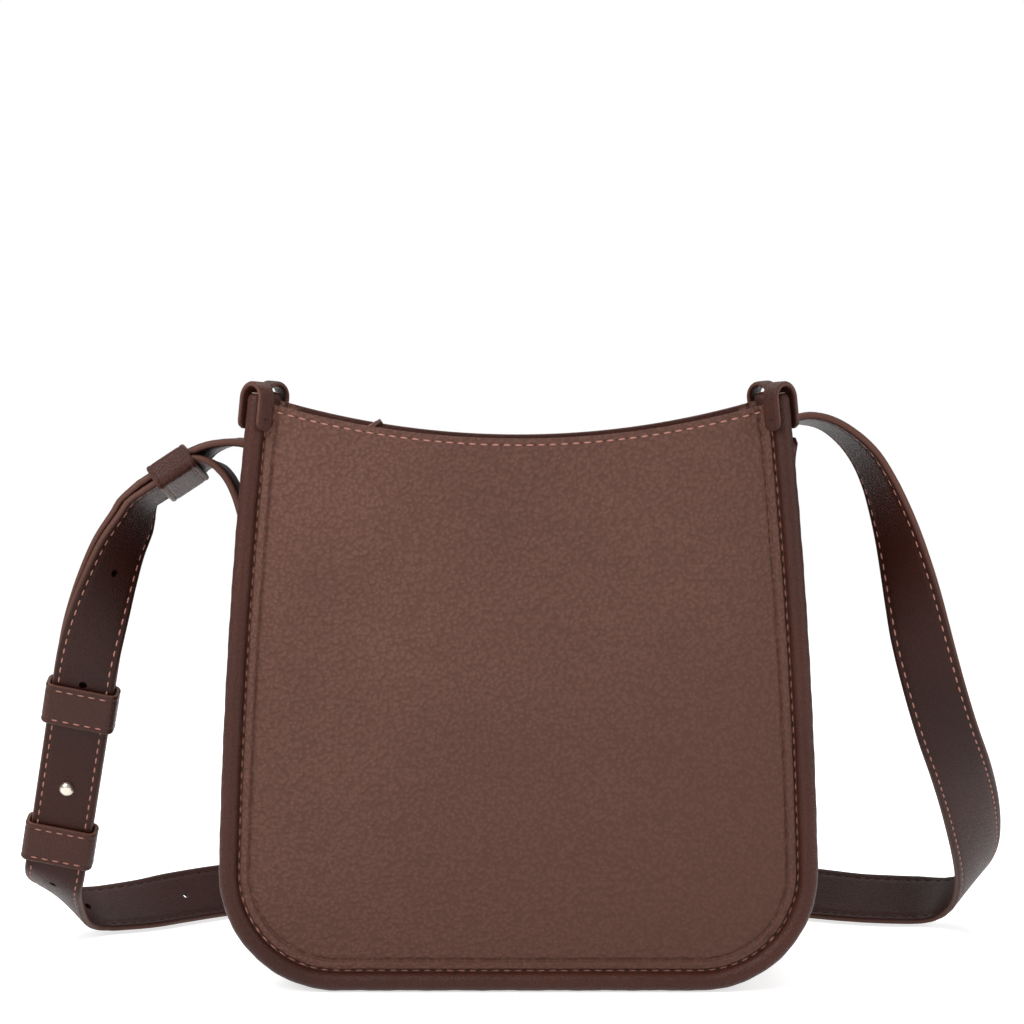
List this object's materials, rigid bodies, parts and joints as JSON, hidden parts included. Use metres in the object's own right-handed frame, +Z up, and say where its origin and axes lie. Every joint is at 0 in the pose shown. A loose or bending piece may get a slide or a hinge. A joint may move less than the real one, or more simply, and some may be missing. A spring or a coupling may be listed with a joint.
{
  "type": "crossbody purse",
  "caption": "Trapezoidal leather crossbody purse with piped seams, recessed zip and a flat shoulder strap doubled back through a ring and held by a stud and keepers.",
  "frame": {"origin": "on the floor, under the middle of the flat base", "axes": "+Z up, +X along the width, -Y out of the front panel"},
  "size_m": [0.4257, 0.2352, 0.2459],
  "materials": {
    "panel_leather": "pebbled grain, satin",
    "smooth_leather": "smooth, satin",
    "cord": "matt",
    "foam": "matt",
    "lining_fabric": "woven, matt",
    "tape_fabric": "woven, matt",
    "board": "matt",
    "nickel": "satin"
  },
  "bodies": {
    "bag": {"back_interlining": "foam", "back_panel": "panel_leather", "back_piping": "smooth_leather", "back_piping_cord": "cord", "back_top_facing": "smooth_leather", "back_zip_panel": "smooth_leather", "back_zip_tape": "tape_fabric", "back_zip_teeth": "nickel", "base_board": "board", "ear_tab_back_left": "smooth_leather", "ear_tab_back_right": "smooth_leather", "ear_tab_front_left": "smooth_leather", "ear_tab_front_right": "smooth_leather", "front_interlining": "foam", "front_panel": "panel_leather", "front_piping": "smooth_leather", "front_piping_cord": "cord", "front_top_facing": "smooth_leather", "front_zip_panel": "smooth_leather", "front_zip_tape": "tape_fabric", "front_zip_teeth": "nickel", "gusset": "panel_leather", "lining": "lining_fabric", "ring_tab_left": "smooth_leather", "ring_tab_right": "smooth_leather", "slip_pocket": "lining_fabric", "zip_bottom_stop": "nickel", "zip_top_stops": "nickel"},
    "strap": {"shoulder_strap": "smooth_leather", "strap_ring_left": "nickel", "strap_ring_right": "nickel", "stud_head": "nickel", "stud_plate": "nickel"},
    "slider": {"zip_slider": "nickel"},
    "pull": {"pull_link": "nickel", "pull_leather": "smooth_leather"},
    "keeper_upper_body": {"keeper_upper": "smooth_leather"},
    "keeper_middle_body": {"keeper_middle": "smooth_leather"},
    "keeper_lower_body": {"keeper_lower": "smooth_leather"}
  },
  "joints": [
    {"name": "strap_swing", "type": "hinge", "parent": "bag", "child": "strap", "pos_m": [0, 0, 0.2], "axis": [1, 0, 0], "range_deg": [0, 145], "deforming": ["ring_tab_left", "ring_tab_right"]},
    {"name": "zip_slide", "type": "slide", "parent": "bag", "child": "slider", "axis": [1, 0, 0], "range_m": [0, 0.138]},
    {"name": "zip_pull_swing", "type": "hinge", "parent": "slider", "child": "pull", "pos_m": [-0.076, 0, 0.2162], "axis": [0, -1, 0], "range_deg": [-20, 75]},
    {"name": "keeper_upper_slide", "type": "slide", "parent": "strap", "child": "keeper_upper_body", "axis": [0.8335, 0.0479, 0.5504], "range_m": [-0.006, 0]},
    {"name": "keeper_middle_slide", "type": "slide", "parent": "strap", "child": "keeper_middle_body", "axis": [0.191, -0.3588, 0.9137], "range_m": [-0.024, 0.008]},
    {"name": "keeper_lower_slide", "type": "slide", "parent": "strap", "child": "keeper_lower_body", "axis": [0.191, -0.3588, 0.9137], "range_m": [-0.004, 0.012]}
  ]
}
